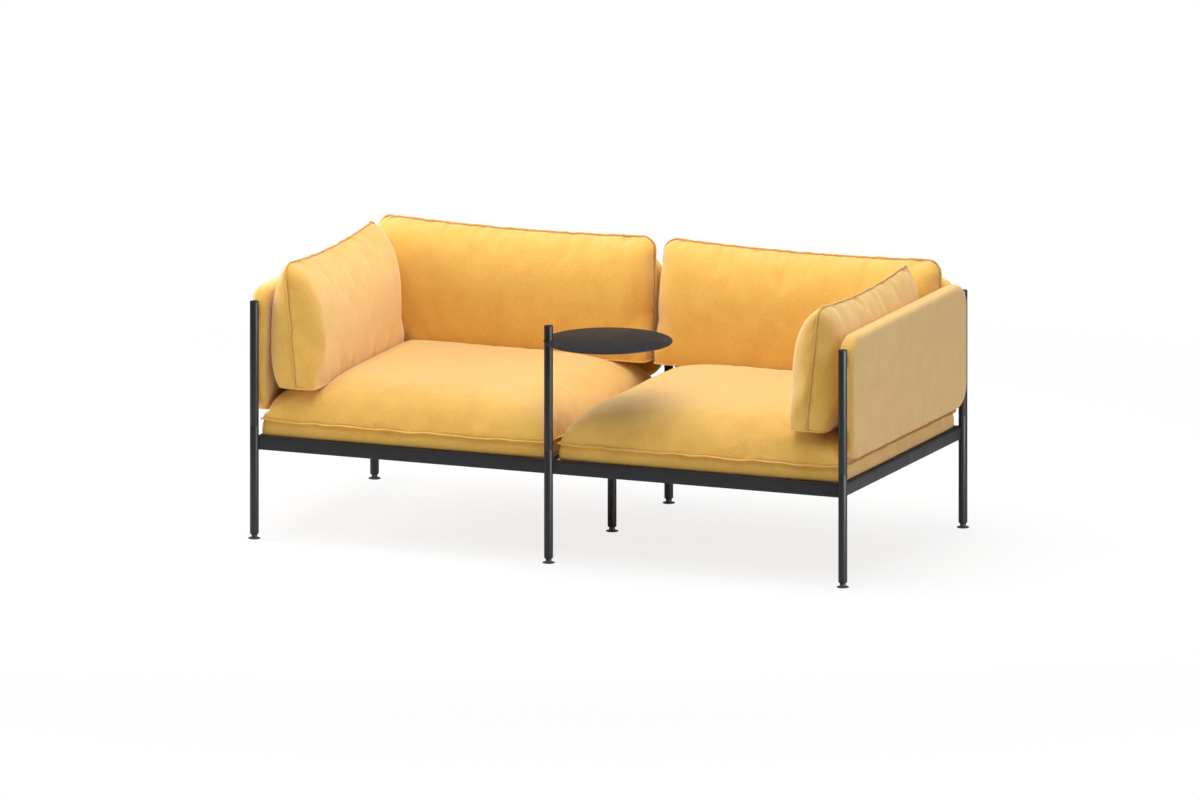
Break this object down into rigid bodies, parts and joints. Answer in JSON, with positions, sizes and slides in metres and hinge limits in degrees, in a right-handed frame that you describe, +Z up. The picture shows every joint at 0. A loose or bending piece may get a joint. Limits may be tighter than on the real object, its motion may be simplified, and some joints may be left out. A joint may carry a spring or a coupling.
{
  "type": "modular sofa",
  "caption": "Low modular sofa on a slim steel frame, with upholstered side and back panels between posts, loose cushions, and a round swivelling tray table on its middle front post.",
  "frame": {"origin": "on the floor, under the middle of the sofa's box, which reaches from the front edge of the tray to the outer face of the back panels", "axes": "+X to the right along the front, +Y from the front to the back, +Z up"},
  "size_m": [1.744, 0.9848, 0.7525],
  "materials": {
    "powder_coated_steel": "satin black powder coat",
    "plated_steel": "zinc plated",
    "nylon": "moulded black nylon",
    "wool_cloth": "mustard-yellow felted wool weave",
    "plywood": "sanded birch plywood"
  },
  "bodies": {
    "frame": {"front_rail_left": "powder_coated_steel", "front_rail_right": "powder_coated_steel", "side_rail_right": "powder_coated_steel", "back_rail_right": "powder_coated_steel", "back_rail_left": "powder_coated_steel", "side_rail_left": "powder_coated_steel", "centre_rail": "powder_coated_steel", "leg_front_left": "powder_coated_steel", "leg_front_middle": "powder_coated_steel", "leg_front_right": "powder_coated_steel", "leg_back_right": "powder_coated_steel", "leg_back_middle": "powder_coated_steel", "leg_back_left": "powder_coated_steel", "leg_support": "powder_coated_steel", "post_front_left": "powder_coated_steel", "post_front_right": "powder_coated_steel", "post_back_right": "powder_coated_steel", "post_back_middle": "powder_coated_steel", "post_back_left": "powder_coated_steel", "swivel_washer": "nylon", "spigot_front_left": "plated_steel", "spigot_front_middle": "plated_steel", "spigot_front_right": "plated_steel", "spigot_back_right": "plated_steel", "spigot_back_middle": "plated_steel", "spigot_back_left": "plated_steel", "arm_panel_left": "wool_cloth", "strip_arm_panel_left_front_left": "plated_steel", "strip_arm_panel_left_back_left": "plated_steel", "arm_panel_right": "wool_cloth", "strip_arm_panel_right_front_right": "plated_steel", "strip_arm_panel_right_back_right": "plated_steel", "back_panel_left": "wool_cloth", "strip_back_panel_left_back_left": "plated_steel", "strip_back_panel_left_back_middle": "plated_steel", "back_panel_right": "wool_cloth", "strip_back_panel_right_back_middle": "plated_steel", "strip_back_panel_right_back_right": "plated_steel", "seat_deck_left": "plywood", "seat_deck_right": "plywood", "seat_cushion_left": "wool_cloth", "seat_cushion_right": "wool_cloth"},
    "tray": {"tray_post": "powder_coated_steel", "tray": "powder_coated_steel"},
    "foot_front_left": {"foot_front_left": "nylon"},
    "foot_front_middle": {"foot_front_middle": "nylon"},
    "foot_front_right": {"foot_front_right": "nylon"},
    "foot_back_right": {"foot_back_right": "nylon"},
    "foot_back_middle": {"foot_back_middle": "nylon"},
    "foot_back_left": {"foot_back_left": "nylon"},
    "foot_support": {"foot_support": "nylon"},
    "arm_cushion_left": {"arm_cushion_left": "wool_cloth"},
    "arm_cushion_right": {"arm_cushion_right": "wool_cloth"},
    "back_cushion_left": {"back_cushion_left": "wool_cloth"},
    "back_cushion_right": {"back_cushion_right": "wool_cloth"}
  },
  "joints": [
    {"name": "tray_swivel", "type": "hinge", "parent": "frame", "child": "tray", "pos_m": [0, -0.37958, 0.3085], "axis": [0, 0, 1], "continuous": true},
    {"name": "foot_screw_front_left", "type": "slide", "parent": "frame", "child": "foot_front_left", "axis": [0, 0, -1], "range_m": [0, 0.01]},
    {"name": "foot_screw_front_middle", "type": "slide", "parent": "frame", "child": "foot_front_middle", "axis": [0, 0, -1], "range_m": [0, 0.01]},
    {"name": "foot_screw_front_right", "type": "slide", "parent": "frame", "child": "foot_front_right", "axis": [0, 0, -1], "range_m": [0, 0.01]},
    {"name": "foot_screw_back_right", "type": "slide", "parent": "frame", "child": "foot_back_right", "axis": [0, 0, -1], "range_m": [0, 0.01]},
    {"name": "foot_screw_back_middle", "type": "slide", "parent": "frame", "child": "foot_back_middle", "axis": [0, 0, -1], "range_m": [0, 0.01]},
    {"name": "foot_screw_back_left", "type": "slide", "parent": "frame", "child": "foot_back_left", "axis": [0, 0, -1], "range_m": [0, 0.01]},
    {"name": "foot_screw_support", "type": "slide", "parent": "frame", "child": "foot_support", "axis": [0, 0, -1], "range_m": [0, 0.01]},
    {"name": "arm_cushion_left_lift", "type": "slide", "parent": "frame", "child": "arm_cushion_left", "axis": [0, 0, 1], "range_m": [0, 0.45]},
    {"name": "arm_cushion_right_lift", "type": "slide", "parent": "frame", "child": "arm_cushion_right", "axis": [0, 0, 1], "range_m": [0, 0.45]},
    {"name": "back_cushion_left_lift", "type": "slide", "parent": "frame", "child": "back_cushion_left", "axis": [0, 0, 1], "range_m": [0, 0.45]},
    {"name": "back_cushion_right_lift", "type": "slide", "parent": "frame", "child": "back_cushion_right", "axis": [0, 0, 1], "range_m": [0, 0.45]}
  ]
}
